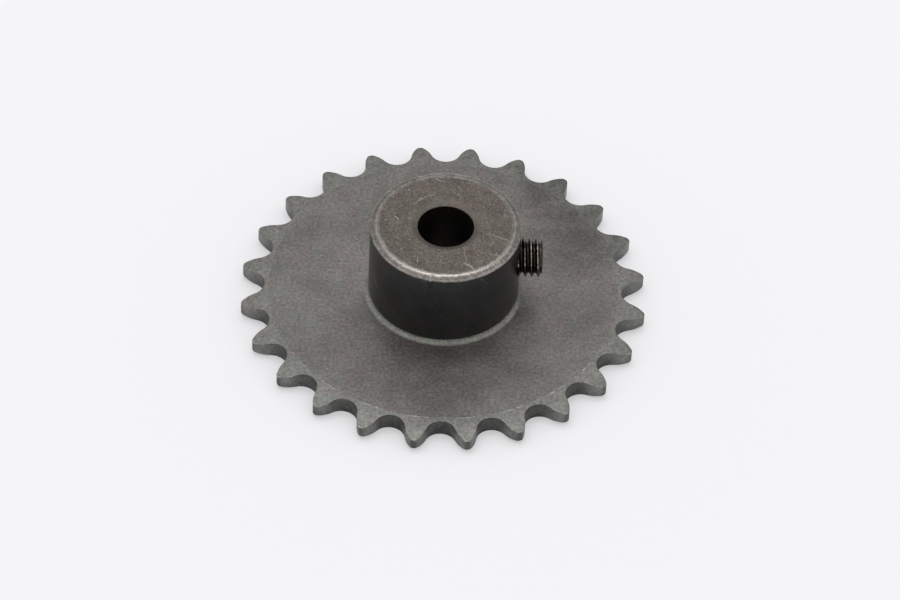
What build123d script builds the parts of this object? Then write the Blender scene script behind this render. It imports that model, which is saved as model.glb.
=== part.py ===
from build123d import *
import os
from math import acos, asin, atan2, cos, degrees, hypot, radians, sin

# Chain sprocket for quarter-inch roller chain, with its set screw. The toothed
# plate and the hub are one piece of steel. A plain bore runs right through both,
# and a socket set screw sits in a tapped hole through one side of the hub.
#
# Millimetres. The origin is on the bore axis in the plate's back face. +Z runs up
# through the hub, and +X runs out along the set screw.

os.makedirs("parts", exist_ok=True)

# Chain: its pitch, its rollers, and the number of teeth that carry it.
chain_pitch = 6.35
roller_diameter = 3.3
tooth_count = 24

# Tooth gap: a seat arc on the pitch circle, with a convex flank on each side.
seat_clearance = 0.27
seat_half_angle = 67.8
flank_radius = 4.15
tip_above_pitch_circle = 1.14
tip_corner_radius = 0.5
# From the set screw round to the centre of the nearest tooth gap, in degrees.
screw_to_gap_angle = 1.23

# Plate: flat out to a crease, where both faces start to curve in towards the tips.
plate_thickness = 2.4
crease_inside_root = 0.5
relief_start_slope = 2.2
relief_arc_radius = 20.0

# Hub. Its height is measured from the plate's back face.
hub_diameter = 18.8
hub_height = 13.7
hub_bevel_width = 0.75
hub_bevel_depth = 0.3
hub_base_fillet = 0.55

# Bore, bevelled like the hub's rim at the hub end, with its edge broken at the back.
bore_diameter = 7.0
bore_bevel_width = 0.75
bore_bevel_depth = 0.3
bore_edge_break = 0.3

# Set screw: socket at the outer end, cup point towards the bore.
screw_height = 8.6
screw_length = 8.0
screw_crest_diameter = 4.85
screw_end_chamfer = 0.45
screw_point_to_bore = 0.7
cup_diameter = 2.5
cup_depth = 0.6
socket_across_flats = 2.5
socket_depth = 3.0
# Running room all round the thread in its tapped hole.
thread_clearance = 0.05

# Radii and places that follow from the sizes above.
pitch_radius = chain_pitch / 2 / sin(radians(180 / tooth_count))
seat_radius = roller_diameter / 2 + seat_clearance
root_radius = pitch_radius - seat_radius
tip_radius = pitch_radius + tip_above_pitch_circle
crease_radius = root_radius - crease_inside_root
hub_radius = hub_diameter / 2
bore_radius = bore_diameter / 2
screw_radius = screw_crest_diameter / 2
cup_radius = cup_diameter / 2
screw_inner_end = bore_radius + screw_point_to_bore
screw_outer_end = screw_inner_end + screw_length

# The flank arc is tangent to the end of the seat arc, so its centre lies on the
# line from the seat's centre through that end.
flank_centre_radius = seat_radius + flank_radius
flank_centre_x = pitch_radius - flank_centre_radius * cos(radians(seat_half_angle))
flank_centre_y = flank_centre_radius * sin(radians(seat_half_angle))
mouth_reach = tip_radius + flank_radius

# A flank meets the tip circle at this bearing from the gap's centre, which leaves
# each tooth a land between its flanks. The land limits the corner radius, except on
# pointed teeth, whose flanks meet inside the tip circle.
flank_centre_reach = hypot(flank_centre_x, flank_centre_y)
tip_bearing = atan2(flank_centre_y, flank_centre_x) - acos(
    (flank_centre_reach**2 + tip_radius**2 - flank_radius**2)
    / (2 * flank_centre_reach * tip_radius)
)
tip_land = 2 * tip_radius * (radians(180 / tooth_count) - tip_bearing)
tip_rounding = min(tip_corner_radius, tip_land) if tip_land > 0 else tip_corner_radius

# The relief runs on a corner radius past the tip circle, where the tooth outline
# trims it.
relief_slope = radians(relief_start_slope)
relief_reach = tip_radius + tip_corner_radius - crease_radius
relief_end_slope = degrees(asin(relief_reach / relief_arc_radius + sin(relief_slope)))
relief_sweep = relief_end_slope - relief_start_slope

# One tooth gap on the +X axis. Its flanks and its mouth run on past the tip circle.
with BuildSketch() as tooth_gap:
    with BuildLine():
        CenterArc(
            (pitch_radius, 0), seat_radius, 180 - seat_half_angle, 2 * seat_half_angle
        )
        left_flank = CenterArc(
            (flank_centre_x, flank_centre_y), flank_radius, -seat_half_angle, seat_half_angle
        )
        right_flank = CenterArc(
            (flank_centre_x, -flank_centre_y), flank_radius, 0, seat_half_angle
        )
        Polyline(
            left_flank @ 1,
            (mouth_reach, flank_centre_y),
            (mouth_reach, -flank_centre_y),
            right_flank @ 0,
        )
    make_face()

with BuildPart() as sprocket:
    # Turned blank: plate, relieved rim, base fillet, hub, both bevels and the bore.
    with BuildSketch(Plane.XZ):
        with BuildLine():
            back_relief = JernArc(
                (crease_radius, 0),
                (cos(relief_slope), sin(relief_slope)),
                relief_arc_radius,
                relief_sweep,
            )
            front_relief = JernArc(
                (crease_radius, plate_thickness),
                (cos(relief_slope), -sin(relief_slope)),
                relief_arc_radius,
                -relief_sweep,
            )
            Line(back_relief @ 1, front_relief @ 1)
            base_fillet = CenterArc(
                (hub_radius + hub_base_fillet, plate_thickness + hub_base_fillet),
                hub_base_fillet,
                180,
                90,
            )
            Line(front_relief @ 0, base_fillet @ 1)
            Polyline(
                base_fillet @ 0,
                (hub_radius, hub_height - hub_bevel_depth),
                (hub_radius - hub_bevel_width, hub_height),
                (bore_radius + bore_bevel_width, hub_height),
                (bore_radius, hub_height - bore_bevel_depth),
                (bore_radius, bore_edge_break),
                (bore_radius + bore_edge_break, 0),
                back_relief @ 0,
            )
        make_face()
    revolve(axis=Axis.Z)

    # Teeth: the tip circle less its gaps, with the tip corners rounded.
    with BuildSketch() as tooth_outline:
        Circle(tip_radius)
        with PolarLocations(0, tooth_count, start_angle=screw_to_gap_angle):
            add(tooth_gap.sketch, mode=Mode.SUBTRACT)
        tip_corners = tooth_outline.vertices().filter_by(
            lambda corner: hypot(corner.X, corner.Y) > pitch_radius
        )
        fillet(tip_corners, tip_rounding)
    extrude(amount=hub_height + plate_thickness, both=True, mode=Mode.INTERSECT)

    # Tapped hole from the bore out through the hub on the +X side.
    with BuildSketch(Plane.YZ):
        with Locations((0, screw_height)):
            Circle(screw_radius + thread_clearance)
    extrude(amount=hub_diameter, mode=Mode.SUBTRACT)

with BuildPart() as set_screw:
    # Thread envelope with a chamfered outer end and a coned cup point.
    with BuildSketch(Plane.XZ):
        with BuildLine():
            Polyline(
                (screw_inner_end + cup_depth, screw_height),
                (screw_inner_end, screw_height + cup_radius),
                (screw_inner_end + screw_radius - cup_radius, screw_height + screw_radius),
                (screw_outer_end - screw_end_chamfer, screw_height + screw_radius),
                (screw_outer_end, screw_height + screw_radius - screw_end_chamfer),
                (screw_outer_end, screw_height),
                close=True,
            )
        make_face()
    revolve(axis=Axis((0, 0, screw_height), (1, 0, 0)))

    # Hexagon socket in the outer end.
    with BuildSketch(Plane.YZ.offset(screw_outer_end)):
        with Locations((0, screw_height)):
            RegularPolygon(socket_across_flats / 2, 6, major_radius=False)
    extrude(amount=-socket_depth, mode=Mode.SUBTRACT)

sprocket.part.label = "sprocket"
export_step(sprocket.part, "parts/sprocket.step")

set_screw.part.label = "set_screw"
export_step(set_screw.part, "parts/set_screw.step")
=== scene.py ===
"""Steel chain sprocket with a socket set screw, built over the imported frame.

The toothed wheel and the screw are meshed here at their real size, in the same
place as their CAD nodes, and dressed with procedural finishes.
"""

import logging
import random
from dataclasses import dataclass
from enum import Enum
from functools import partial
from math import acos, atan2, cos, hypot, pi, radians, sin, tan
from typing import Any, Callable, ClassVar, Iterable, Mapping, Sequence

import bpy
import numpy as np
from mathutils import Matrix, Vector


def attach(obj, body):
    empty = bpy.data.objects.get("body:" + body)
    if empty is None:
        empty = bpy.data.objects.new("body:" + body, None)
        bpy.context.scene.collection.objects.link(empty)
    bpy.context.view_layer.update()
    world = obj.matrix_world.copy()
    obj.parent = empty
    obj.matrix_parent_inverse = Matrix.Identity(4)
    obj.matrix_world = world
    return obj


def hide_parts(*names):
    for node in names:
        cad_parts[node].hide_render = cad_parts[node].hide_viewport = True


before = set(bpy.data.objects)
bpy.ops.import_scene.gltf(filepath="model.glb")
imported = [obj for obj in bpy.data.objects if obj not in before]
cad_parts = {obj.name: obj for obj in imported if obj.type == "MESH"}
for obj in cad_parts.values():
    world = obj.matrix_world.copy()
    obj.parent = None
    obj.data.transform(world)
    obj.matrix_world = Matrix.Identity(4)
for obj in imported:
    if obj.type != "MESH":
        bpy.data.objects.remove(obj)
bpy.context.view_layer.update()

LOG = logging.getLogger("sprocket")
MM = 0.001
BODY = "root"
# Heights of the plate's face and of the hub's end, in millimetres.
PLATE_TOP = 2.4
HUB_TOP = 13.7

Point2 = tuple[float, float]
Point3 = tuple[float, float, float]


def linear(hex_colour: str) -> tuple[float, float, float, float]:
    """Turn six hex digits of sRGB into the linear RGBA that a shader takes."""
    channels = [int(hex_colour[i : i + 2], 16) / 255 for i in (0, 2, 4)]
    red, green, blue = (
        c / 12.92 if c <= 0.04045 else ((c + 0.055) / 1.055) ** 2.4 for c in channels
    )
    return red, green, blue, 1.0


def add_node(
    tree: bpy.types.NodeTree,
    kind: str,
    *values: Any,
    named: Mapping[Any, Any] | None = None,
    **settings: Any,
) -> Any:
    """Add a node with its settings and its inputs.

    Args:
        tree: The node tree that gets the node.
        kind: Blender's type name of the node, without its leading ShaderNode.
        *values: Value or source socket for each of the first inputs, in order.
        named: The same for other inputs, by name or number.
        **settings: Properties of the node.

    Returns:
        The new node's outputs.
    """
    node = tree.nodes.new("ShaderNode" + kind)
    for name, value in settings.items():
        setattr(node, name, value)
    for key, value in [*enumerate(values), *(named or {}).items()]:
        if isinstance(value, bpy.types.NodeSocket):
            tree.links.new(value, node.inputs[key])
        else:
            node.inputs[key].default_value = value
    return node.outputs


def start_nodes(block: bpy.types.Material | bpy.types.World) -> Callable[..., Any]:
    """Empty a block's node tree, and return what adds nodes to it."""
    block.use_nodes = True
    block.node_tree.nodes.clear()
    return partial(add_node, block.node_tree)


def put(name: str, data: bpy.types.ID) -> bpy.types.Object:
    """Put an object with this mesh, light or camera into the scene."""
    made = bpy.data.objects.new(name, data)
    bpy.context.scene.collection.objects.link(made)
    return made


def new_object(
    name: str, vertices: np.ndarray, faces: Sequence[Sequence[int]]
) -> bpy.types.Object:
    """Make a mesh object from points in millimetres and each face's vertex numbers."""
    mesh = bpy.data.meshes.new(name)
    mesh.from_pydata((np.asarray(vertices) * MM).tolist(), [], [list(f) for f in faces])
    mesh.update()
    return put(name, mesh)


def combine(target: bpy.types.Object, tool: bpy.types.Object, operation: str) -> None:
    """Cut a closed mesh with another one, which is deleted, by DIFFERENCE or INTERSECT."""
    step = target.modifiers.new("combine", "BOOLEAN")
    step.operation = operation
    step.solver = "MANIFOLD"
    step.object = tool
    bpy.context.view_layer.update()
    shown = target.evaluated_get(bpy.context.evaluated_depsgraph_get())
    result = bpy.data.meshes.new_from_object(shown)
    target.modifiers.remove(step)
    old = target.data
    target.data = result
    result.name = target.name
    bpy.data.meshes.remove(old)
    bpy.data.meshes.remove(tool.data)


def smooth(piece: bpy.types.Object, sharp_from: float) -> None:
    """Shade a mesh smooth, but for edges that turn by sharp_from degrees or more."""
    piece.data.polygons.foreach_set("use_smooth", [True] * len(piece.data.polygons))
    piece.data.set_sharp_from_angle(angle=radians(sharp_from))


def rounded(
    points: Sequence[Point2], radii: Sequence[float], steps: Sequence[int]
) -> list[Point2]:
    """Round the corners of an open polyline with arcs.

    Args:
        points: Corners of the polyline, ends included.
        radii: Radius at each inner corner.
        steps: Segments in the arc at each inner corner.

    Returns:
        The points of the rounded polyline.
    """
    result = [points[0]]
    for before, corner, after, radius, count in zip(points, points[1:], points[2:], radii, steps):
        to_before = (Vector(before) - Vector(corner)).normalized()
        to_after = (Vector(after) - Vector(corner)).normalized()
        half = acos(max(-1.0, min(1.0, to_before.dot(to_after)))) / 2
        start = Vector(corner) + to_before * radius / tan(half)
        end = Vector(corner) + to_after * radius / tan(half)
        centre = Vector(corner) + (to_before + to_after).normalized() * radius / sin(half)
        first = atan2(*(start - centre).yx)
        turn = (atan2(*(end - centre).yx) - first + pi) % (2 * pi) - pi
        for i in range(count + 1):
            angle = first + turn * i / count
            result.append((centre.x + radius * cos(angle), centre.y + radius * sin(angle)))
    result.append(points[-1])
    return result


@dataclass(frozen=True)
class Scratch:
    """One scratch in a surface, in millimetres.

    It runs from start to end, its middle stands off the straight line by its bow, and
    facing is the way its surface looks.
    """

    start: Point3
    end: Point3
    bow: float = 0.0
    width: float = 0.1
    strength: float = 0.5
    facing: Point3 = (0.0, 0.0, 1.0)


@dataclass(frozen=True)
class StainOrPaintedLight:
    """A round patch, in mm, that darkens the steel softly out to its reach.

    It is a stain, or painted shade; a strength below nought lightens it, as painted light.
    """

    place: Point3
    reach: float
    strength: float


@dataclass(frozen=True)
class SteelFinish:
    """Plain carbon steel as one process left it, and how handling has worn it.

    Sizes are in millimetres. A metal keeps the default IOR. Real grit marks and
    hairlines are too fine to show, at a tenth of a millimetre and less, so grain,
    specks and scratches are drawn up to a few times coarser.
    """

    name: str
    dark: str
    light: str
    bare: str = "a9a6a0"
    roughness: float = 0.5
    worn_roughness: float = 0.3
    mottle_mm: float = 3.0
    mottle_contrast: float = 1.0
    grain_mm: float = 0.28
    grain_strength: float = 0.25
    speck_mm: float = 0.9
    speck_share: float = 0.0
    scratch_mm: float = 5.0
    scratch_share: float = 0.0
    scratch_strength: float = 0.5
    wear: float = 0.0
    bump_mm: float = 0.01
    metallic: float = 1.0
    toned: bool = False
    scratches: tuple[Scratch, ...] = ()
    stains_and_painted_light: tuple[StainOrPaintedLight, ...] = ()

    def material(self) -> bpy.types.Material:
        """Build the node material of this finish."""
        return SteelShader(self).build()


class SteelShader:
    """Turns one steel finish into a node material, laid out in real millimetres."""

    # The middle part of the noise, which is spread over the whole of a pattern.
    SOFT_NOISE: ClassVar[Point2] = (0.3, 0.7)
    GRAIN_NOISE: ClassVar[Point2] = (0.2, 0.8)
    NOISE_ROUGHNESS: ClassVar = 0.6
    # How far red, green and blue move where the steel has a warm cast.
    WARM_CAST: ClassVar[Point3] = (0.05, -0.035, 0.0)
    CAST_MM: ClassVar = 1.4
    # Light that the most shaded edge keeps, where edge wear below nought paints shade.
    DEEPEST_EDGE_SHADE: ClassVar = 0.3
    # Patches that break up light wear, and the wear at which all is bare.
    WEAR_MM: ClassVar = 0.45
    FULL_WEAR: ClassVar = 0.45
    ROUGHNESS_SPREAD: ClassVar = 0.05
    # The edge of a stain or of painted shade or light wanders by this share of its reach,
    # in patches of this width.
    RAGGED_SHARE: ClassVar = 0.2
    RAGGED_MM: ClassVar = 2.5
    # Smallest and largest grit hit, and its soft edge, as shares of its cell.
    SPECK_SIZES: ClassVar[Point2] = (0.08, 0.2)
    SPECK_EDGE: ClassVar = 0.06
    # Narrow step between the cells that have a grit hit and those that have none.
    CHOICE_STEP: ClassVar = 0.01
    # How soon a scratch reaches its full strength.
    SCRATCH_ENDS: ClassVar = 0.08
    # The way across each family of hairlines, and a shift so that no two match.
    HAIRLINES: ClassVar = (((0.9, 0.3, 0.35), 0.0), ((-0.35, 0.85, 0.3), 40.0))
    HAIRLINE_WIDTH: ClassVar = 0.09
    # Width and depth of their bends and length of their pieces, in spacings.
    BEND_WIDTH: ClassVar = 1.6
    BEND_DEPTH: ClassVar = 4
    PIECE_LENGTH: ClassVar = 0.7
    # Noise above which a piece is kept, how far a full share lowers it, and its edge.
    PIECE_LEVEL: ClassVar = 0.72
    PIECE_LEVEL_DROP: ClassVar = 0.3
    PIECE_EDGE: ClassVar = 0.06

    def __init__(self, finish: SteelFinish) -> None:
        """Start the material, and what most of its layers read."""
        self.finish = finish
        self.made = bpy.data.materials.new(finish.name)
        self.add = start_nodes(self.made)
        place = self.add("TexCoord")["Object"]
        self.mm = self.add("VectorMath", place, named={"Scale": 1 / MM}, operation="SCALE")[0]
        self.edge = self.add("Attribute", attribute_name="edge_wear_and_shade")["Fac"]
        self.grain = self._patches(finish.grain_mm, 2.0, self.GRAIN_NOISE)

    def build(self) -> bpy.types.Material:
        """Lay bare metal over the steel's skin, and return the material."""
        finish, add, grain = self.finish, self.add, self.grain
        bare = self._bare()
        half = finish.grain_strength / 2
        bare_grain = add("MapRange", grain, 0, 1, 1 - half, 1 + half)[0]
        metal = add(
            "VectorMath", linear(finish.bare)[:3], named={"Scale": bare_grain}, operation="SCALE"
        )[0]
        colour = add("Mix", bare, named={6: self._skin(), 7: metal}, data_type="RGBA")[2]
        low, high = (finish.roughness + way * self.ROUGHNESS_SPREAD for way in (-1, 1))
        rough = add("MapRange", grain, 0, 1, low, high)[0]
        rough = add("MapRange", bare, 0, 1, rough, finish.worn_roughness)[0]
        bump = {"Height": grain, "Strength": 1.0, "Distance": finish.bump_mm * MM}
        steel = {
            "Base Color": colour,
            "Roughness": rough,
            "Normal": add("Bump", named=bump)[0],
            "Metallic": finish.metallic,
        }
        add("OutputMaterial", add("BsdfPrincipled", named=steel)[0])
        return self.made

    def _patches(
        self,
        size_mm: float,
        detail: float,
        noise: Point2,
        becomes: Point2 = (0.0, 1.0),
        place: Any = None,
    ) -> Any:
        """Patches of a real width, from noise that is spread between two values.

        Args:
            size_mm: Width of a patch.
            detail: Octaves of finer noise in it.
            noise: Lowest and highest noise that counts.
            becomes: What those two turn into.
            place: Position in millimetres, where it isn't the surface's own.

        Returns:
            The value at each place.
        """
        settings = {
            "Vector": self.mm if place is None else place,
            "Scale": 1 / size_mm,
            "Detail": detail,
            "Roughness": self.NOISE_ROUGHNESS,
        }
        return self.add("MapRange", self.add("TexNoise", named=settings)[0], *noise, *becomes)[0]

    def _skin(self) -> Any:
        """Unworn colour: mottled, grained, stained, warm in places, painted in shade and light."""
        finish, add = self.finish, self.add
        mottle = self._patches(finish.mottle_mm, 3.0, self.SOFT_NOISE)
        contrast = finish.mottle_contrast
        share = add("Math", mottle, contrast, 0.5 - contrast / 2, operation="MULTIPLY_ADD")[0]
        # A stored tone leans the colour to dark or light: painted shade and light on the tooth
        # walls, and the brown outer end of the screw.
        if finish.toned:
            tone = add("Attribute", attribute_name="tone")["Fac"]
            share = add("Math", share, tone, operation="ADD", use_clamp=True)[0]
        shades = {6: linear(finish.dark), 7: linear(finish.light)}
        colour = add("Mix", share, named=shades, data_type="RGBA")[2]
        strength = finish.grain_strength
        shade = add("MapRange", self.grain, 0, 1, 1 - strength, 1 + strength)[0]
        # Edge wear below nought paints shade along those edges.
        edge_shade = add("MapRange", self.edge, -1.0, 0.0, self.DEEPEST_EDGE_SHADE, 1.0)[0]
        for kept in [edge_shade, *map(self._stained_or_painted, finish.stains_and_painted_light)]:
            shade = add("Math", shade, kept, operation="MULTIPLY")[0]
        colour = add("VectorMath", colour, named={"Scale": shade}, operation="SCALE")[0]
        cast = self._patches(self.CAST_MM, 3.0, self.SOFT_NOISE, (-1.0, 1.0))
        tint = add("VectorMath", cast, self.WARM_CAST, (1, 1, 1), operation="MULTIPLY_ADD")[0]
        return add("VectorMath", colour, tint, operation="MULTIPLY")[0]

    def _stained_or_painted(self, stain_or_light: StainOrPaintedLight) -> Any:
        """Share of light that a stain or painted shade or light leaves, out to its ragged edge."""
        wander = self.RAGGED_SHARE * stain_or_light.reach
        away = self.add("VectorMath", self.mm, stain_or_light.place, operation="DISTANCE")["Value"]
        ragged = self._patches(self.RAGGED_MM, 3.0, self.SOFT_NOISE, (-wander, wander))
        away = self.add("Math", away, ragged, operation="ADD")[0]
        limits = (0.0, stain_or_light.reach, 1 - stain_or_light.strength, 1.0)
        return self.add("MapRange", away, *limits, interpolation_type="SMOOTHSTEP")[0]

    def _bare(self) -> Any:
        """Share of bare metal: rubbed edges, grit hits, hairlines and scratches."""
        finish = self.finish
        layers = [self._specks()]
        if finish.scratch_share:
            layers += [self._hairlines(*family) for family in self.HAIRLINES]
        layers += [self._scratch(scratch) for scratch in finish.scratches]
        bare = self._rubbed()
        for layer in layers:
            bare = self.add("Math", bare, layer, operation="MAXIMUM")[0]
        return bare

    def _rubbed(self) -> Any:
        """Share of bare metal along the edges, in patches where they are rubbed little."""
        patches = self._patches(self.WEAR_MM, 3.0, self.SOFT_NOISE, (-1.0, 0.0))
        wear = self.finish.wear
        reach = self.add("Math", self.edge, wear, patches, operation="MULTIPLY_ADD")[0]
        return self.add("MapRange", reach, 0.0, self.FULL_WEAR)[0]

    def _specks(self) -> Any:
        """Share of bare metal in single grit hits."""
        add, share = self.add, self.finish.speck_share
        cells = add("TexVoronoi", named={"Vector": self.mm, "Scale": 1 / self.finish.speck_mm})
        draw = add("SeparateColor", cells["Color"])
        chosen = add("MapRange", draw[0], share, share + self.CHOICE_STEP, 1.0, 0.0)[0]
        size = add("MapRange", draw[1], 0, 1, *self.SPECK_SIZES)[0]
        inside = add("Math", size, cells["Distance"], operation="SUBTRACT")[0]
        spot = add("MapRange", inside, 0.0, self.SPECK_EDGE)[0]
        return add("Math", spot, chosen, operation="MULTIPLY")[0]

    def _scratch(self, scratch: Scratch) -> Any:
        """Share of bare metal in one scratch, which is thin at both of its ends."""
        add = self.add
        run = Vector(scratch.end) - Vector(scratch.start)
        aside = Vector(scratch.facing).cross(run).normalized()
        here = add("VectorMath", self.mm, scratch.start, operation="SUBTRACT")[0]
        along, across = (
            add("VectorMath", here, way, operation="DOT_PRODUCT")["Value"]
            for way in (run / run.length_squared, aside)
        )
        squared = add("Math", along, along, operation="MULTIPLY")[0]
        inside = add("Math", along, squared, operation="SUBTRACT")[0]
        # The share inside peaks at a quarter, so four of it make the whole bow.
        off = add("Math", inside, -4 * scratch.bow, across, operation="MULTIPLY_ADD")[0]
        off = add("Math", off, operation="ABSOLUTE")[0]
        line = add("MapRange", off, 0.0, scratch.width, scratch.strength, 0.0)[0]
        ends = add("MapRange", inside, 0.0, self.SCRATCH_ENDS)[0]
        return add("Math", line, ends, operation="MULTIPLY")[0]

    def _hairlines(self, across: Point3, shift: float) -> Any:
        """Share of bare metal in long, gently bent lines, of which short pieces are kept."""
        add, spacing = self.add, self.finish.scratch_mm
        moved = add("VectorMath", self.mm, (shift, shift, shift), operation="ADD")[0]
        run = add("VectorMath", moved, across, operation="DOT_PRODUCT")["Value"]
        bend = self._patches(
            self.BEND_WIDTH * spacing, 0.0, (0, 1), (0.0, self.BEND_DEPTH * spacing), moved
        )
        away = add("Math", run, bend, operation="ADD")[0]
        away = add("Math", away, spacing / 2, operation="PINGPONG")[0]
        line = add("MapRange", away, 0.0, self.HAIRLINE_WIDTH, 1.0, 0.0)[0]
        level = self.PIECE_LEVEL - self.PIECE_LEVEL_DROP * self.finish.scratch_share
        kept = self._patches(
            self.PIECE_LENGTH * spacing,
            2.0,
            (level, level + self.PIECE_EDGE),
            (0.0, self.finish.scratch_strength),
            moved,
        )
        return add("Math", line, kept, operation="MULTIPLY")[0]


def level_scratches(height: float, *rows: Sequence[float]) -> tuple[Scratch, ...]:
    """Scratches in a level face, from rows of both ends, bow, width and strength."""
    return tuple(Scratch((a, b, height), (c, d, height), *form) for a, b, c, d, *form in rows)


# Handling has left these scratches on the hub's end, side and bevel and on the plate.
# The patches on the plate and its teeth are stains, painted shade and painted light,
# and those on the hub's foot darken it at its left and right.
HUB_END_SCRATCHES = level_scratches(
    HUB_TOP,
    (2.3, -3.8, 2.4, -5.0, 0.1, 0.1, 0.3), (2.4, -5.0, 2.2, -6.7, 0.4, 0.1, 0.35),
    (2.5, -6.5, 3.6, -7.4, 0.2, 0.14, 0.8), (5.0, -1.1, 8.1, -2.3, 0.0, 0.1, 0.35),
    (5.4, -4.6, 7.0, -5.0, 0.0, 0.1, 0.35), (-3.5, 3.9, -1.5, 5.2, 0.2, 0.1, 0.4),
    (-3.8, 3.4, -3.1, 4.6, 0.1, 0.1, 0.4), (-3.3, -5.6, -3.3, -6.6, 0.0, 0.12, 0.35),
    (-3.4, -4.9, -2.8, -5.1, 0.0, 0.12, 0.35), (-6.5, 1.2, -5.8, 0.6, 0.0, 0.12, 0.6),
)
PLATE_SCRATCHES = level_scratches(
    PLATE_TOP,
    (-6.0, -8.5, -5.1, -9.4, 0.0, 0.1, 0.35), (-17.2, -5.8, -16.2, -5.5, -0.6, 0.1, 0.3),
    (-11.6, 3.2, -10.7, 4.5, 0.1, 0.1, 0.25),
)
# The first three patches are stains. The next four, in front of the hub, are painted shade: its
# shadow and its reflection on the plate. Those with a strength below nought are painted light,
# round the hub's foot and on the plate's left and back.
PLATE_STAINS_AND_PAINTED_LIGHT = tuple(
    StainOrPaintedLight((x, y, PLATE_TOP), reach, strength)
    for x, y, reach, strength in (
        (17.0, 10.0, 9.0, 0.4), (13.0, 18.5, 7.0, 0.4), (17.0, -5.2, 5.0, 0.22),
        (0.5, -18.5, 9.0, 0.2), (0.5, -11.7, 2.2, 0.28), (9.5, -12.0, 5.5, 0.18),
        (-9.5, -14.5, 5.0, 0.08), (-10.5, 2.5, 6.0, -0.2), (-19.5, -1.0, 5.0, -0.08),
        (1.0, 18.5, 3.5, -0.12), (12.3, -3.3, 2.5, -0.15), (-11.3, -2.5, 3.0, -0.08),
        (-7.4, -7.2, 4.5, -0.25), (7.6, -7.2, 4.0, -0.18),
    )
)
FOOT_DARK_PATCHES = (StainOrPaintedLight((10.0, 2.0, 2.7), 7.0, 0.35), StainOrPaintedLight((-10.0, 2.0, 2.7), 6.0, 0.2))
HUB_SIDE_SCRATCHES = (
    Scratch((-8.8, -3.2, 7.9), (-8.2, -4.6, 6.7), 0.1, 0.14, 1.0, (-0.9, -0.4, 0.0)),
    Scratch((4.4, -8.3, 13.0), (5.3, -7.8, 11.5), 0.2, 0.1, 0.25, (0.5, -0.9, 0.0)),
    Scratch((9.3, -1.6, 6.6), (8.8, -3.3, 7.0), 0.0, 0.1, 0.25, (1.0, -0.3, 0.0)),
)
BEVEL_SCRATCHES = (
    Scratch((6.8, -5.2, HUB_TOP), (7.5, -5.6, 13.5), 0.0, 0.14, 0.9),
    Scratch((6.5, -5.6, HUB_TOP), (7.1, -6.1, 13.5), 0.0, 0.12, 0.8),
    Scratch((6.2, -6.0, HUB_TOP), (6.7, -6.6, 13.5), 0.0, 0.12, 0.6),
    Scratch((3.0, -8.2, HUB_TOP), (3.6, -8.7, 13.5), 0.0, 0.14, 0.7),
    Scratch((-1.55, -8.6, HUB_TOP), (-1.68, -9.6, 13.4), 0.0, 0.16, 0.9),
)

# Blasted mild steel: flat grit marks give the plate its soft, even grey.
BLASTED_PLATE = SteelFinish(
    "blasted_steel_plate", "6a6764", "7a7774", roughness=0.42, metallic=0.75, mottle_mm=3.6,
    grain_mm=0.4, grain_strength=0.42, speck_mm=0.6, speck_share=0.03, scratch_share=0.3,
    scratch_strength=0.25, wear=0.4, scratches=PLATE_SCRATCHES, stains_and_painted_light=PLATE_STAINS_AND_PAINTED_LIGHT,
)
# The same blast over the turned relief, a little lighter than the plate.
BLASTED_RELIEF = SteelFinish(
    "blasted_steel_relief", "72726e", "7f7e7a", roughness=0.45, metallic=0.8, mottle_mm=2.5,
    grain_mm=0.4, grain_strength=0.45, speck_mm=0.7, speck_share=0.02, scratch_share=0.2,
    scratch_strength=0.3, wear=0.7, stains_and_painted_light=PLATE_STAINS_AND_PAINTED_LIGHT,
)
# Hobbed steel under heat scale: the tooth walls are smoother and blue-grey. Their
# shade and light from root to tip are painted, through a stored tone.
HOBBED_WALL = SteelFinish(
    "hobbed_steel_wall", "353331", "878885", roughness=0.42, mottle_mm=1.6,
    mottle_contrast=0.3, grain_mm=0.2, grain_strength=0.45, wear=0.6, toned=True,
)
# Faced and blasted hub end: warm grey, with bright pits where grit has cut through.
BLASTED_HUB_END = SteelFinish(
    "blasted_steel_hub_end", "605a55", "6e6862", bare="beb9b0", roughness=0.43,
    mottle_mm=1.6, grain_mm=0.2, grain_strength=0.6, speck_mm=0.45, speck_share=0.3,
    scratch_mm=3.4, scratch_share=0.45, scratch_strength=0.33, wear=0.6,
    scratches=HUB_END_SCRATCHES,
)
# Round the bore the end is smooth, where a countersink has burnished it.
BURNISHED_RIM = SteelFinish(
    "burnished_steel_bore_rim", "625c57", "6e6862", roughness=0.52, mottle_mm=1.6,
    grain_strength=0.35, scratch_mm=3.4, scratch_share=0.1, wear=0.4,
)
# Rubbed bevel: bare steel shows along both of its edges.
RUBBED_BEVEL = SteelFinish(
    "rubbed_steel_bevel", "6c6763", "7f7a75", bare="96918c", roughness=0.42,
    worn_roughness=0.26, mottle_mm=0.8, grain_strength=0.4, speck_mm=0.6,
    speck_share=0.08, wear=1.0, scratches=BEVEL_SCRATCHES,
)
# Turned steel under a dark oil skin: smooth enough to mirror the plate below it.
TURNED_HUB_SIDE = SteelFinish(
    "turned_steel_hub_side", "494949", "525252", roughness=0.35, mottle_mm=3.5,
    grain_mm=0.3, grain_strength=0.2, speck_mm=1.2, speck_share=0.02, scratch_mm=6.0,
    scratch_share=0.2, scratch_strength=0.2, wear=0.3, bump_mm=0.002,
    scratches=HUB_SIDE_SCRATCHES,
)
# The fillet's turned radius, left open-grained and lighter than what it joins.
TURNED_FILLET = SteelFinish(
    "turned_steel_fillet", "8e8e88", "a1a19a", roughness=0.7, mottle_mm=0.9,
    grain_mm=0.26, grain_strength=0.45, wear=0.2, bump_mm=0.02, stains_and_painted_light=FOOT_DARK_PATCHES,
)
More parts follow.
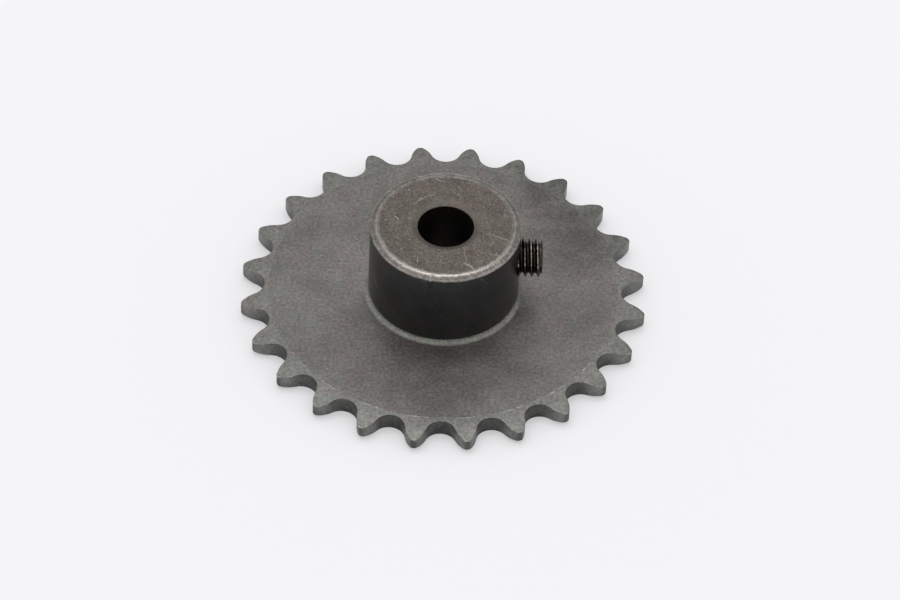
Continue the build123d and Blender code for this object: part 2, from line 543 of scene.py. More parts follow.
# Drilled and reamed bore: dark, faintly mottled and grained.
REAMED_BORE = SteelFinish(
    "reamed_steel_bore", "4a4744", "56524e", roughness=0.4, mottle_mm=1.5,
    grain_mm=0.2, grain_strength=0.12, wear=0.5, bump_mm=0.003,
)
# Tapped thread in the hub wall: cut metal, bright on its crests.
TAPPED_STEEL = SteelFinish(
    "tapped_steel_thread", "55504a", "6a645d", roughness=0.3, mottle_mm=0.6,
    grain_mm=0.2, grain_strength=0.2, wear=0.6, bump_mm=0.004,
)
# Black oxide on alloy steel, rubbed through along the thread crests.
BLACK_OXIDE = SteelFinish(
    "black_oxide_alloy_steel", "1c1a18", "5b5145", bare="aaa49b", roughness=0.34,
    worn_roughness=0.28, mottle_mm=1.2, mottle_contrast=0.25, toned=True,
    grain_mm=0.2, grain_strength=0.3, wear=0.9, bump_mm=0.004,
)


class Zone(Enum):
    """The surfaces of the toothed wheel and their finishes, in the order of its slots."""

    HUB_END = BLASTED_HUB_END
    HUB_BEVEL = RUBBED_BEVEL
    HUB_SIDE = TURNED_HUB_SIDE
    BASE_FILLET = TURNED_FILLET
    PLATE_FACE = BLASTED_PLATE
    TOOTH_RELIEF = BLASTED_RELIEF
    TOOTH_WALL = HOBBED_WALL
    BORE = REAMED_BORE
    TAPPED_HOLE = TAPPED_STEEL
    BORE_RIM = BURNISHED_RIM

    @property
    def slot(self) -> int:
        """Number of its material slot."""
        return list(Zone).index(self)


@dataclass(frozen=True)
class ToothForm:
    """The tooth outline, in millimetres and degrees."""

    chain_pitch: float = 6.35
    count: int = 24
    seat_radius: float = 1.92
    seat_half_angle: float = 67.8
    flank_radius: float = 4.15
    tip_above_pitch_circle: float = 1.14
    tip_corner_radius: float = 0.5
    first_gap_angle: float = 1.23
    seat_steps: int = 8
    flank_steps: int = 6
    corner_steps: int = 3

    @property
    def pitch_radius(self) -> float:
        """Radius of the circle that the rollers' centres lie on."""
        return self.chain_pitch / 2 / sin(pi / self.count)

    @property
    def root_radius(self) -> float:
        """Radius at the bottom of a tooth gap."""
        return self.pitch_radius - self.seat_radius

    @property
    def tip_radius(self) -> float:
        """Radius of the tooth tips."""
        return self.pitch_radius + self.tip_above_pitch_circle

    def half_gap(self) -> list[tuple[float, float, float, float]]:
        """Points from a gap's centre line to the middle of the next tooth.

        Returns:
            The x, y and outward normal of each point, for a gap on the +X axis.
        """
        half = radians(self.seat_half_angle)
        reach = self.seat_radius + self.flank_radius
        flank_x = self.pitch_radius - reach * cos(half)
        flank_y = reach * sin(half)
        flank_distance = hypot(flank_x, flank_y)
        corner_distance = self.tip_radius - self.tip_corner_radius
        inner = self.flank_radius - self.tip_corner_radius
        corner_angle = atan2(flank_y, flank_x) - acos(
            (flank_distance**2 + corner_distance**2 - inner**2)
            / (2 * flank_distance * corner_distance)
        )
        corner_x = corner_distance * cos(corner_angle)
        corner_y = corner_distance * sin(corner_angle)
        flank_end = atan2(corner_y - flank_y, corner_x - flank_x)
        # Centre, radius, first and last angle, steps, 1 if the last point counts too, and
        # -1 where the steel lies outside the arc.
        arcs = (
            (self.pitch_radius, 0.0, self.seat_radius, 0.0, half, self.seat_steps, 0, -1),
            (flank_x, flank_y, self.flank_radius, -half, flank_end, self.flank_steps, 0, 1),
            (
                corner_x, corner_y, self.tip_corner_radius,
                flank_end, corner_angle, self.corner_steps, 1, 1,
            ),
        )
        points = []
        for x, y, radius, first, last, steps, more, side in arcs:
            for i in range(steps + more):
                a = first + (last - first) * i / steps
                points.append(
                    (x + side * radius * cos(a), y + radius * sin(a), cos(a), side * sin(a))
                )
        along, aside = cos(pi / self.count), sin(pi / self.count)
        points.append((self.tip_radius * along, self.tip_radius * aside, along, aside))
        return points

    def outline(self) -> tuple[np.ndarray, np.ndarray]:
        """The whole closed outline.

        Returns:
            Points and outward normals, one row of x and y for each column of the mesh.
        """
        half = np.array(self.half_gap())
        mirrored = half[:0:-1] * np.array([1, -1, 1, -1])
        gap = np.vstack([mirrored[1:], half])
        points, normals = [], []
        for n in range(self.count):
            turn = radians(self.first_gap_angle) + 2 * pi * n / self.count
            spin = np.array([[cos(turn), sin(turn)], [-sin(turn), cos(turn)]])
            points.append(gap[:, :2] @ spin)
            normals.append(gap[:, 2:] @ spin)
        return np.vstack(points), np.vstack(normals)


@dataclass(frozen=True)
class Nick:
    """A small dent in a rim: its bearing, its width along the rim and its depth."""

    bearing: float
    width: float
    depth: float


@dataclass(frozen=True)
class Thread:
    """A right-hand metric thread along +X, in millimetres."""

    pitch: float = 0.8
    crest_radius: float = 2.425
    root_radius: float = 1.955
    height: float = 8.6
    columns: int = 72

    def profile(self) -> list[Point2]:
        """Share of a pitch and radius, over a rounded crest, a flank, a root and a flank."""
        crest, root = self.crest_radius, self.root_radius
        deep = crest - root
        return [
            (0.00, crest - 0.03 * deep),
            (0.065, crest),
            (0.13, crest - 0.03 * deep),
            (0.16, crest - 0.08 * deep),
            (0.38, root + 0.1 * deep),
            (0.45, root),
            (0.68, root),
            (0.75, root + 0.1 * deep),
            (0.97, crest - 0.08 * deep),
        ]

    def at(self, x: float, radius: float, angle: float) -> Point3:
        """The point at a radius and an angle about the thread's axis."""
        return x, radius * cos(angle), self.height + radius * sin(angle)

    def off_axis(self, piece: bpy.types.Object) -> list[float]:
        """Distance in metres of each vertex of a mesh from the thread's axis."""
        return [hypot(v.co.y, v.co.z - self.height * MM) for v in piece.data.vertices]

    def solid(self, name: str, start: float, end: float, room: float) -> bpy.types.Object:
        """A closed threaded rod that runs past both of its ends.

        Args:
            name: Name of the object.
            start: Where the thread starts along +X.
            end: Where it ends.
            room: How much larger its radius is than the screw's.

        Returns:
            The rod, with a whole turn to spare at each end.
        """
        profile = self.profile()
        turn, columns = len(profile), self.columns
        first = round(start / self.pitch) - 1
        turns = round((end - start) / self.pitch) + 3
        rows = turns * turn
        vertices = []
        for row in range(rows):
            share, radius = profile[row % turn]
            whole = first + row // turn
            for part in (column / columns for column in range(columns)):
                along = (whole + share + part) * self.pitch
                vertices.append(self.at(along, radius + room, 2 * pi * part))

        def vertex(row: int, column: int) -> int:
            """Number of a vertex, where a full turn lands one pitch of rows on."""
            if column == columns:
                return (row + turn) * columns
            return row * columns + column

        faces = [
            (vertex(row, c), vertex(row, c + 1), vertex(row + 1, c + 1), vertex(row + 1, c))
            for row in range(rows - 1)
            for c in range(columns)
            if c < columns - 1 or row + 1 + turn < rows
        ]
        last = rows - 1
        front = [vertex(0, c) for c in range(columns)]
        front += [vertex(r, 0) for r in range(turn, 0, -1)]
        back = [vertex(last, 0)]
        back += [vertex(r, columns - 1) for r in range(last - turn, last + 1)]
        back += [vertex(last, c) for c in range(columns - 2, 0, -1)]
        for loop, middle in ((front, first + 0.5), (back, first + turns + 0.5)):
            centre = len(vertices)
            vertices.append(self.at(middle * self.pitch, 0.0, 0.0))
            faces += [(b, a, centre) for a, b in zip(loop, loop[1:] + loop[:1])]
        return new_object(name, np.array(vertices), faces)


def store(piece: bpy.types.Object, name: str, values: Iterable[float]) -> None:
    """Store a number at each vertex, for the finish to read.

    It is the edge wear, how far a vertex is rubbed or, below nought, how deep the shade
    painted on it is, or tone, how far it leans to the finish's dark or light, which on
    the tooth walls is painted shade and light.
    """
    made = piece.data.attributes.get(name) or piece.data.attributes.new(name, "FLOAT", "POINT")
    made.data.foreach_set("value", list(values))


def ripple(bearings: np.ndarray, waves: Sequence[int], seed: int) -> np.ndarray:
    """An uneven but closed sum of waves round a rim, between nought and one."""
    draw = random.Random(seed)
    total = sum(np.sin(bearings * n + draw.uniform(0, 2 * pi)) for n in waves)
    # Few sums of waves with random phases go beyond this, and those are clipped.
    highest = 1.6
    return 0.5 + 0.5 * np.clip(total / len(waves) ** 0.5 / highest, -1, 1)


@dataclass(frozen=True)
class WornCorner:
    """A corner of the turned section that handling has rubbed."""

    radius: float
    height: float
    reach: float
    strength: float


@dataclass
class ToothedWheel:
    """Plate, teeth and hub in one piece of steel. Sizes are in millimetres."""

    # Painted shade and light on the walls: where each leans from its finish's dark to its
    # light, from root to tip, and how much lighter the roots are that lie along X, at the sides.
    WALL_PAINTED_SHADING: ClassVar = (
        (0.0, 0.2, 0.45, 0.8, 0.94, 1.0), (-0.19, -0.12, 0.17, 0.24, 0.14, -0.18)
    )
    ROOT_PAINTED_LIGHT: ClassVar = 0.15
    # The way in which edges look that are painted in shade, at the back and right, and
    # how far round from it they still are.
    SHADED_EDGE_SIDE: ClassVar = (0.6, 0.8)
    SHADED_EDGE_SPREAD: ClassVar = 0.2
    # Wear of the tooth rims at the roots, and what the tips have on top.
    RIM_WEAR: ClassVar = (0.35, 0.65)
    # Wear of the crease at the front, which paints its glint there, and the share of the
    # relief in which it ends.
    CREASE_WEAR_AND_GLINT: ClassVar = 1.3
    CREASE_WEAR_END: ClassVar = 0.08
    # Powers that hold the crease's wear and painted glint to the front, and the rim's
    # wear and painted shade to the tooth's very edge.
    FRONT_POWER: ClassVar = 1.5
    EDGE_POWER: ClassVar = 40
    # The relief's rings, as shares of the way from the crease to the tooth's edge, and
    # the wall's first ring, as a share of the way down to the middle.
    RELIEF_SHARES: ClassVar = (0.0, 0.03, 0.09, 0.2, 0.38, 0.56, 0.74, 0.88, 0.97, 1.0)
    WALL_SHARE: ClassVar = 0.08
    # Roundings of the bore's edge and rim and of the bevel's outer edge, and the steps
    # in each rounding of the section.
    BORE_ROUND: ClassVar = 0.08
    BORE_RIM_ROUND: ClassVar = 0.4
    BEVEL_OUTER_ROUND: ClassVar = 0.24
    SECTION_STEPS: ClassVar = (3, 3, 7, 5, 5)
    BACK_ROUNDS: ClassVar = (0.06, 0.1)
    # How far the edge of the bore, its rim, the hub's end, its side and its foot's fillet
    # is moved over the roundings there.
    ZONE_MARGINS: ClassVar = (0.02, 0.1, 0.4, 0.01, 0.002)
    # How far the section's first point lies down the bore from its bevel.
    BORE_START: ClassVar = 0.8
    # Longest plain steps of the section and of the back, and the short ones that stand
    # beside each corner, which hold the shading flat.
    LONGEST_STEPS: ClassVar = (0.7, 0.9)
    CORNER_STEPS: ClassVar = (0.06, 0.2)
    # Depth of the dips in the bevel's outer edge, their width, and their waves and seed.
    DIP_DEPTH: ClassVar = 0.10
    DIP_WIDTH: ClassVar = 0.2
    DIP_WAVES: ClassVar = ((3, 7, 17, 31, 47), 5)
    # How far the hub's bevel is rubbed, by the sine of the bearing, and its waves; more
    # rub at the back and the front corners paints their sheen.
    BEVEL_RUB_AND_SHEEN: ClassVar = ((-1.0, -0.64, 0.0, 1.0), (0.25, 0.8, 0.12, 1.0))
    RUB_WAVES: ClassVar = ((5, 11, 23), 2)
    # Wear of the section's corners at the far side, and how fast it grows to the front,
    # which paints the rim's glint there.
    CORNER_WEAR_AND_GLINT: ClassVar = (0.72, 0.25)
    # Range of the nicks' widths and of their depths, and how wide they are across the
    # rim. Past their reach nothing moves.
    NICK_WIDTHS: ClassVar = (0.1, 0.45)
    NICK_DEPTHS: ClassVar = (0.02, 0.09)
    NICK_ACROSS: ClassVar = 0.15
    NICK_REACH: ClassVar = 0.45
    # Shares of a nick's depth that push the rim inwards and down.
    NICK_PUSH: ClassVar = (0.8, 0.6)
    # One dent in the hub's rim has pushed a burr outwards.
    BURR: ClassVar = Nick(-1.745, 0.16, -0.22)
    # How far out from the hole's least radius its thread counts as a crest.
    HOLE_CREST: ClassVar = 0.1

    teeth: ToothForm = ToothForm()
    thread: Thread = Thread()
    plate_thickness: float = PLATE_TOP
    crease_inside_root: float = 0.5
    relief_start_slope: float = 2.2
    relief_arc_radius: float = 20.0
    hub_radius: float = 9.4
    hub_height: float = HUB_TOP
    bevel_width: float = 0.75
    bevel_depth: float = 0.3
    base_fillet: float = 0.55
    bore_radius: float = 3.5
    bore_bevel_width: float = 0.75
    bore_bevel_depth: float = 0.3
    bore_edge_break: float = 0.3
    bevel_inner_round: float = 2.2
    thread_clearance: float = 0.05
    tooth_edge_round: float = 0.04
    nick_count: int = 34
    nick_seed: int = 11
    sharp_from: float = 40

    def __post_init__(self) -> None:
        """Lay out the mesh's columns, and start its rings."""
        self.outline, self.normals = self.teeth.outline()
        self.bearings = np.arctan2(self.outline[:, 1], self.outline[:, 0])
        self.spokes = np.stack([np.cos(self.bearings), np.sin(self.bearings)], 1)
        root, tip = self.teeth.root_radius, self.teeth.tip_radius
        self.tip_share = np.clip((np.hypot(*self.outline.T) - root) / (tip - root), 0, 1)
        self.rings: list[np.ndarray] = []
        self.wears: list[np.ndarray] = []
        self.zones: list[Zone] = []

    @property
    def crease_radius(self) -> float:
        """Where the flat plate ends and the tooth relief starts."""
        return self.teeth.root_radius - self.crease_inside_root

    def relief(self, radius: np.ndarray) -> np.ndarray:
        """How far each face falls away at a radius: nought inside the crease."""
        slope = radians(self.relief_start_slope)
        run = np.maximum(radius - self.crease_radius, 0) + self.relief_arc_radius * sin(slope)
        return self.relief_arc_radius * cos(slope) - np.sqrt(self.relief_arc_radius**2 - run**2)

    def turned_section(self) -> list[Point2]:
        """Radius and height from half-way up the bore to the crease on top."""
        top, plate = self.hub_height, self.plate_thickness
        corners = [
            (self.bore_radius, top - self.bore_bevel_depth - self.BORE_START),
            (self.bore_radius, top - self.bore_bevel_depth),
            (self.bore_radius + self.bore_bevel_width, top),
            (self.hub_radius - self.bevel_width, top),
            (self.hub_radius, top - self.bevel_depth),
            (self.hub_radius, plate),
            (self.crease_radius, plate),
        ]
        rounds = (
            self.BORE_ROUND, self.BORE_RIM_ROUND, self.bevel_inner_round,
            self.BEVEL_OUTER_ROUND, self.base_fillet,
        )
        return rounded(corners, rounds, self.SECTION_STEPS)

    def flat_stops(self, points: list[Point2], longest: float) -> list[Point2]:
        """Split runs over the longest step in the middle and close to both of their ends."""
        result = [points[0]]
        for (r0, z0), (r1, z1) in zip(points, points[1:]):
            length = hypot(r1 - r0, z1 - z0)
            if length > longest:
                near = [step / length for step in self.CORNER_STEPS]
                for share in [*near, 0.5, *(1 - step for step in reversed(near))]:
                    result.append((r0 + (r1 - r0) * share, z0 + (z1 - z0) * share))
            result.append((r1, z1))
        return result

    def zone_at(self, radius: float, height: float) -> Zone:
        """The surface, and so the finish, at a point of the turned section."""
        bore, rim, end, side, foot = self.ZONE_MARGINS
        if radius < self.bore_radius + bore:
            return Zone.BORE
        if height > self.plate_thickness + self.base_fillet:
            if radius < self.bore_radius + self.bore_bevel_width + rim:
                return Zone.BORE_RIM
            if radius < self.hub_radius - self.bevel_width - end:
                return Zone.HUB_END
            return Zone.HUB_SIDE if radius > self.hub_radius - side else Zone.HUB_BEVEL
        return Zone.BASE_FILLET if height > self.plate_thickness + foot else Zone.PLATE_FACE

    def worn_corners(self) -> list[WornCorner]:
        """The corners of the section that are rubbed to bare steel."""
        top = self.hub_height
        return [
            WornCorner(self.hub_radius - self.bevel_width - 0.04, top, 0.17, 0.85),
            WornCorner(self.hub_radius - 0.09, top - self.bevel_depth + 0.03, 0.13, 0.5),
            WornCorner(self.bore_radius, top - self.bore_bevel_depth, 0.06, 0.5),
            WornCorner(self.crease_radius, self.plate_thickness, 0.07, 0.8),
        ]

    def build(self) -> bpy.types.Object:
        """Mesh the wheel as one closed skin, then cut its tapped hole."""
        self._add_section(self.flat_stops(self.turned_section(), self.LONGEST_STEPS[0]))
        self._add_side(True)
        self._add_side(False)
        back = [
            (self.crease_radius, 0.0),
            (self.bore_radius + self.bore_edge_break, 0.0),
            (self.bore_radius, self.bore_edge_break),
            (self.bore_radius, self.turned_section()[0][1]),
        ]
        back = rounded(back, self.BACK_ROUNDS, (2, 2))
        self._add_section(self.flat_stops(back, self.LONGEST_STEPS[1]))
        vertices = np.vstack(self.rings)
        self._dent(vertices)
        columns, count = len(self.bearings), len(self.rings)
        faces, slots = [], []
        for k, zone in enumerate(self.zones):
            here, there = k * columns, (k + 1) % count * columns
            for j in range(columns):
                beside = (j + 1) % columns
                faces.append((here + j, there + j, there + beside, here + beside))
            slots += [zone.slot] * columns
        wheel = new_object("toothed_wheel", vertices, faces)
        for zone in Zone:
            wheel.data.materials.append(zone.value.material())
        wheel.data.polygons.foreach_set("material_index", slots)
        # Painted shade and light on the walls: darker roots and tips, lighter flanks, and lighter
        # roots at the left and right.
        roots = self.ROOT_PAINTED_LIGHT * (1 - self.tip_share) * self.spokes[:, 0] ** 2
        tone = np.interp(self.tip_share, *self.WALL_PAINTED_SHADING) + roots
        store(wheel, "edge_wear_and_shade", np.concatenate(self.wears))
        store(wheel, "tone", np.tile(tone, count))
        self._tap(wheel)
        return wheel

    def _add_ring(self, flat: np.ndarray, height: Any, wear: Any, zone: Zone) -> None:
        """Add one ring of vertices, and the zone of the faces that follow it."""
        columns = len(self.bearings)
        self.rings.append(np.column_stack([flat, np.broadcast_to(height, columns)]))
        self.wears.append(np.broadcast_to(wear, columns))
        self.zones.append(zone)

    def _add_section(self, section: Sequence[Point2]) -> None:
        """Add a turned section's rings: worn corners with painted glint, and a dipped bevel.

        Args:
            section: Radius and height of each ring. The last one is left to what follows.
        """
        dips = self.DIP_DEPTH * ripple(self.bearings, *self.DIP_WAVES)
        sines = np.sin(self.bearings)
        # Wear that grows to the front, and the bevel's rub by bearing, paint part of the rim's
        # glint and sheen as bare metal.
        least, more = self.CORNER_WEAR_AND_GLINT
        front = least + more * (1 - sines) ** 2
        rubbed = np.interp(sines, *self.BEVEL_RUB_AND_SHEEN) * ripple(self.bearings, *self.RUB_WAVES)
        corners = self.worn_corners()
        for (radius, height), after in zip(section, section[1:]):
            zone = self.zone_at((radius + after[0]) / 2, (height + after[1]) / 2)
            wear = max(
                c.strength
                * np.exp(-(((radius - c.radius) ** 2 + (height - c.height) ** 2) / c.reach**2))
                for c in corners
            )
            rim = hypot(radius - self.hub_radius, height - self.hub_height + self.bevel_depth)
            drop = dips * np.exp(-((rim / self.DIP_WIDTH) ** 2))
            rub_and_sheen = rubbed if zone is Zone.HUB_BEVEL else 0.0
            self._add_ring(self.spokes * radius, height - drop, wear * front + rub_and_sheen, zone)

    def _add_side(self, top: bool) -> None:
        """Add the relief, rounded edge and half the wall of the plate's top or bottom."""
        edge, deep = self.tooth_edge_round, self.plate_thickness / 2
        # Edges that face back and right are painted in shade; those that face front are worn.
        shaded_edges = np.clip(self.normals @ self.SHADED_EDGE_SIDE + self.SHADED_EDGE_SPREAD, 0, 1)
        root, more = self.RIM_WEAR
        rim_wear_and_shade = (root + more * self.tip_share**2) * (1 - shaded_edges) - shaded_edges
        # Crease wear held to the front paints the crease's glint there.
        front = ((1 - self.spokes[:, 1]) / 2) ** self.FRONT_POWER
        crease = self.spokes * self.crease_radius
        inner = self.outline - self.normals * edge
        rings = []
        shares = self.RELIEF_SHARES if top else (*self.RELIEF_SHARES[::2], 1.0)
        for share in shares:
            flat = crease + (inner - crease) * share
            worn = self.CREASE_WEAR_AND_GLINT * front * max(1 - share / self.CREASE_WEAR_END, 0)
            worn = worn + rim_wear_and_shade * share**self.EDGE_POWER
            rings.append((flat, self.relief(np.hypot(*flat.T)), worn))
        fall = self.relief(np.hypot(*inner.T))
        for angle in (pi / 4, pi / 2):
            flat = self.outline - self.normals * edge * (1 - sin(angle))
            rings.append((flat, fall + edge * (1 - cos(angle)), rim_wear_and_shade))
        rings.append((self.outline, fall + edge + self.WALL_SHARE * (deep - fall - edge), 0.0))
        if top:
            for i, (flat, depth, wear) in enumerate(rings):
                zone = Zone.TOOTH_RELIEF if i < len(shares) else Zone.TOOTH_WALL
                self._add_ring(flat, self.plate_thickness - depth, wear, zone)
            self._add_ring(self.outline, deep, 0.0, Zone.TOOTH_WALL)
        else:
            for i, (flat, depth, wear) in reversed(list(enumerate(rings))[1:]):
                zone = Zone.TOOTH_WALL if i > len(shares) else Zone.TOOTH_RELIEF
                self._add_ring(flat, depth, wear, zone)

    def _dent(self, vertices: np.ndarray) -> None:
        """Knock small nicks into the hub's rim, by moving the vertices in place."""
        draw = random.Random(self.nick_seed)
        bearing = np.arctan2(vertices[:, 1], vertices[:, 0])
        radius = np.hypot(vertices[:, 0], vertices[:, 1])
        rim_z = self.hub_height - self.bevel_depth
        inwards, down = self.NICK_PUSH
        nicks = [
            Nick(
                draw.uniform(-pi, pi),
                draw.uniform(*self.NICK_WIDTHS),
                draw.uniform(*self.NICK_DEPTHS),
            )
            for _ in range(self.nick_count)
        ]
        for nick in [*nicks, self.BURR]:
            along = ((bearing - nick.bearing + pi) % (2 * pi) - pi) * self.hub_radius
            across = np.hypot(radius - self.hub_radius, vertices[:, 2] - rim_z)
            fade = (along / nick.width) ** 2 + (across / self.NICK_ACROSS) ** 2
            share = np.exp(-fade) * nick.depth
            share[across > self.NICK_REACH] = 0
            vertices[:, 0] -= share * np.cos(bearing) * inwards
            vertices[:, 1] -= share * np.sin(bearing) * inwards
            vertices[:, 2] -= np.abs(share) * down

    def _tap(self, wheel: bpy.types.Object) -> None:
        """Cut the threaded hole from the bore out through the hub."""
        start = 2 * self.thread.pitch
        tap = self.thread.solid("tap", start, self.hub_radius + start, self.thread_clearance)
        for finish in wheel.data.materials:
            tap.data.materials.append(finish)
        slots = [Zone.TAPPED_HOLE.slot] * len(tap.data.polygons)
        tap.data.polygons.foreach_set("material_index", slots)
        crest = (self.thread.root_radius + self.thread_clearance + self.HOLE_CREST) * MM
        store(tap, "edge_wear_and_shade", [float(away < crest) for away in self.thread.off_axis(tap)])
        combine(wheel, tap, "DIFFERENCE")

    def dress(self, wheel: bpy.types.Object) -> None:
        """Shade the wheel smooth between its edges, and tie it to the frame."""
        smooth(wheel, self.sharp_from)
        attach(wheel, BODY)
        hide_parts("sprocket")


@dataclass
class SetScrew:
    """Socket set screw with a cup point. Sizes are in millimetres."""

    # How far the crests are rubbed, from the hub's wall out to the socket's end.
    CREST_WEAR: ClassVar = ((9.5, 10.2, 11.6, 12.0), (0.85, 1.0, 1.0, 0.85))
    # Where the oxide leans from its finish's dark to its light: brown at the outer end.
    END_TONE: ClassVar = ((11.6, 11.9), (-0.38, 0.15))
    # Depth below the crest at which the rubbing ends.
    CREST_REACH: ClassVar = 0.055
    # Room between the crests and the blank that trims both of the rod's ends.
    TRIM_ROOM: ClassVar = 0.02
    # How far the outer end's edge is rounded, along the screw and across it.
    END_ROUND: ClassVar = (0.08, 0.06)
    # Depth of the cone that the drill leaves under the socket.
    DRILL_CONE: ClassVar = 0.5

    thread: Thread = Thread()
    inner_end: float = 4.2
    outer_end: float = 12.2
    end_chamfer: float = 0.45
    cup_radius: float = 1.25
    cup_depth: float = 0.6
    socket_across_flats: float = 2.5
    socket_depth: float = 3.0
    facets: int = 96
    sharp_from: float = 35

    def build(self) -> bpy.types.Object:
        """Trim a threaded rod to the screw's ends and sink its socket."""
        crest = self.thread.crest_radius
        trimmed = crest + self.TRIM_ROOM
        along, across = self.END_ROUND
        screw = self.thread.solid("socket_set_screw", self.inner_end, self.outer_end, 0.0)
        blank = [
            (self.inner_end + self.cup_depth, 0.0),
            (self.inner_end, self.cup_radius),
            (self.inner_end + crest - self.cup_radius, trimmed),
            (self.outer_end - self.end_chamfer, trimmed),
            (self.outer_end - along, crest - self.end_chamfer + across),
            (self.outer_end, crest - self.end_chamfer - across),
            (self.outer_end, 0.0),
        ]
        combine(screw, self._turned(blank), "INTERSECT")
        combine(screw, self._socket(), "DIFFERENCE")
        return screw

    def _turned(self, section: Sequence[Point2]) -> bpy.types.Object:
        """A solid turned about the screw's axis, whose section starts and ends on it."""
        n, rows = self.facets, len(section) - 2
        rim = [(i, (i + 1) % n) for i in range(n)]
        vertices = [
            self.thread.at(x, radius, 2 * pi * i / n) for x, radius in section[1:-1] for i, _ in rim
        ]
        faces = [
            (row * n + i, row * n + j, (row + 1) * n + j, (row + 1) * n + i)
            for row in range(rows - 1)
            for i, j in rim
        ]
        end, top = len(vertices), (rows - 1) * n
        faces += [(end, j, i) for i, j in rim]
        faces += [(end + 1, top + i, top + j) for i, j in rim]
        vertices += [self.thread.at(x, 0.0, 0.0) for x, _ in (section[0], section[-1])]
        return new_object("turned_blank", np.array(vertices), faces)

    def _socket(self) -> bpy.types.Object:
        """The hexagon socket, with the cone that its drill leaves."""
        corner = self.socket_across_flats / 2 / cos(pi / 6)
        floor = self.outer_end - self.socket_depth
        vertices = [
            self.thread.at(x, corner, pi / 3 * i)
            for x in (floor, self.outer_end + 1)
            for i in range(6)
        ]
        vertices.append(self.thread.at(floor - self.DRILL_CONE, 0.0, 0.0))
        faces = [(i, (i + 1) % 6, 6 + (i + 1) % 6, 6 + i) for i in range(6)]
        faces += [(12, (i + 1) % 6, i) for i in range(6)]
        faces += [(6, 7, 8, 9, 10, 11)]
        return new_object("hexagon", np.array(vertices), faces)

    def dress(self, screw: bpy.types.Object) -> None:
        """Finish the screw and tie it to the frame."""
        crest, reach = self.thread.crest_radius * MM, self.CREST_REACH * MM
        along = [v.co.x / MM for v in screw.data.vertices]
        worn = [
            max(0.0, 1 - (crest - away) / reach) * share
            for away, share in zip(
                self.thread.off_axis(screw), np.interp(along, *self.CREST_WEAR)
            )
        ]
        store(screw, "edge_wear_and_shade", worn)
        store(screw, "tone", np.interp(along, *self.END_TONE))
        screw.data.materials.clear()
        screw.data.materials.append(BLACK_OXIDE.material())
        screw.data.polygons.foreach_set("material_index", [0] * len(screw.data.polygons))
        smooth(screw, self.sharp_from)
        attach(screw, BODY)
        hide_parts("set_screw")


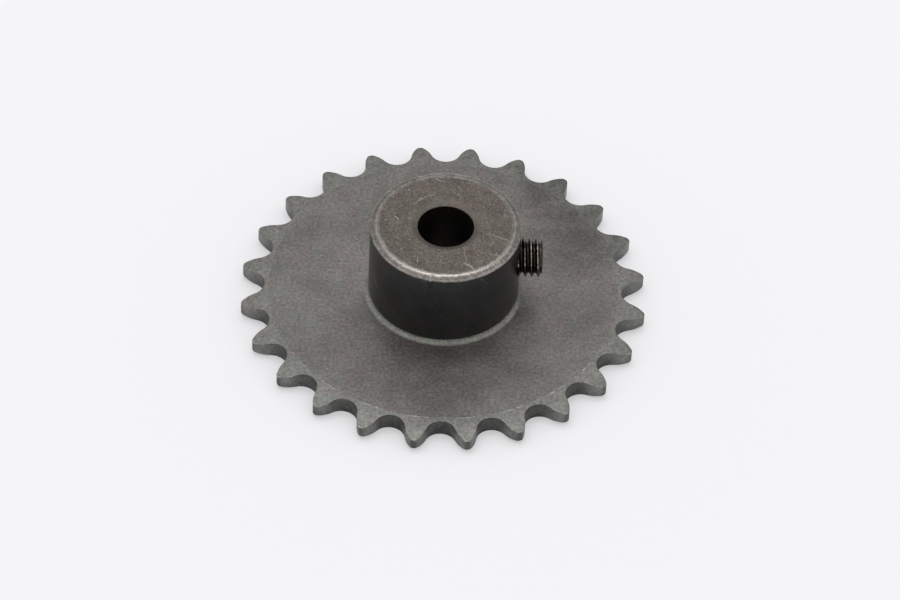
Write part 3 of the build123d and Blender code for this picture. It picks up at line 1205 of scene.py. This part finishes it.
@dataclass
class Studio:
    """Pale floor, soft light from above, and the camera. Sizes are in millimetres."""

    floor_side: float = 3000.0
    floor_colour: str = "f5f5f7"
    floor_roughness: float = 0.9
    floor_gloss: float = 0.2
    even_share: float = 0.36
    horizon: float = 0.52
    zenith: float = 0.94
    zenith_from: float = 0.95
    side_light: float = 0.22
    lamp_size: Point2 = (560.0, 280.0)
    lamp_place: Point3 = (-70.0, 290.0, 1000.0)
    lamp_power: float = 1.4
    elevation: float = 46.745
    distance: float = 551.2
    aim_x: float = 0.918
    aim_y: float = 0.179
    roll: float = 2.556
    focal_px: float = 4376.0
    image_width: int = 900
    sensor_width: float = 36.0

    def build_floor(self) -> None:
        """Lay the floor that the wheel rests on."""
        half = self.floor_side / 2
        floor = new_object(
            "floor",
            np.array([(-half, -half, 0), (half, -half, 0), (half, half, 0), (-half, half, 0)]),
            [(0, 1, 2, 3)],
        )
        paper = bpy.data.materials.new("matt_white_paper")
        add = start_nodes(paper)
        tone = linear(self.floor_colour)
        matt = {
            "Base Color": tone,
            "Roughness": self.floor_roughness,
            "Specular IOR Level": self.floor_gloss,
        }
        lit = add("BsdfPrincipled", named=matt)[0]
        even = add("Emission", tone, 1.0)[0]
        seen = add("LightPath")["Is Camera Ray"]
        share = add("Math", seen, self.even_share, operation="MULTIPLY")[0]
        add("OutputMaterial", add("MixShader", share, lit, even)[0])
        floor.data.materials.append(paper)

    def build_sky(self) -> None:
        """Light everything from a sky that dims to the horizon, less so at both sides."""
        sky = bpy.data.worlds.new("soft_box")
        add = start_nodes(sky)
        aside, _, height = add("SeparateXYZ", add("TexCoord")["Generated"])
        limits = (0.0, self.zenith_from, self.horizon, self.zenith)
        overhead = add("MapRange", height, *limits, interpolation_type="SMOOTHSTEP")[0]
        squared = add("Math", aside, aside, operation="MULTIPLY")[0]
        strength = add("Math", squared, self.side_light, overhead, operation="MULTIPLY_ADD")[0]
        add("OutputWorld", add("Background", (1, 1, 1, 1), strength)[0])
        bpy.context.scene.world = sky

    def build_lamp(self) -> None:
        """Hang a soft lamp above, a little behind and to the left."""
        data = bpy.data.lights.new("softbox", "AREA")
        data.shape = "RECTANGLE"
        data.size, data.size_y = (side * MM for side in self.lamp_size)
        data.energy = self.lamp_power
        lamp = put("softbox", data)
        lamp.location = Vector(self.lamp_place) * MM
        lamp.rotation_euler = (-lamp.location).to_track_quat("-Z", "Y").to_euler()

    def build_camera(self) -> None:
        """Set the camera at its measured place, height and roll."""
        tilt, roll = radians(self.elevation), radians(self.roll)
        back = Vector((0, -cos(tilt), sin(tilt)))
        level = Vector((1, 0, 0))
        upright = level.cross(-back)
        right = level * cos(roll) + upright * sin(roll)
        up = upright * cos(roll) - level * sin(roll)
        data = bpy.data.cameras.new("camera")
        data.sensor_width = self.sensor_width
        data.lens = self.focal_px * self.sensor_width / self.image_width
        data.clip_start = 0.01
        camera = put("camera", data)
        place = (Vector((self.aim_x, self.aim_y, 0)) + back * self.distance) * MM
        turn = Matrix((right, up, back)).transposed().to_4x4()
        camera.matrix_world = Matrix.Translation(place) @ turn
        bpy.context.scene.camera = camera

    def build(self) -> None:
        """Build the floor, the light and the camera."""
        self.build_floor()
        self.build_sky()
        self.build_lamp()
        self.build_camera()


def main() -> None:
    """Build the wheel, the screw and the studio."""
    logging.basicConfig(level=logging.INFO, format="%(message)s")
    bpy.context.scene.view_settings.view_transform = "Standard"
    wheel = ToothedWheel()
    wheel_piece = wheel.build()
    wheel.dress(wheel_piece)
    LOG.info("toothed wheel: %d faces", len(wheel_piece.data.polygons))
    screw = SetScrew()
    screw_piece = screw.build()
    screw.dress(screw_piece)
    LOG.info("set screw: %d faces", len(screw_piece.data.polygons))
    Studio().build()
    LOG.info("studio: floor, sky, lamp and camera")


if __name__ == "__main__":
    main()
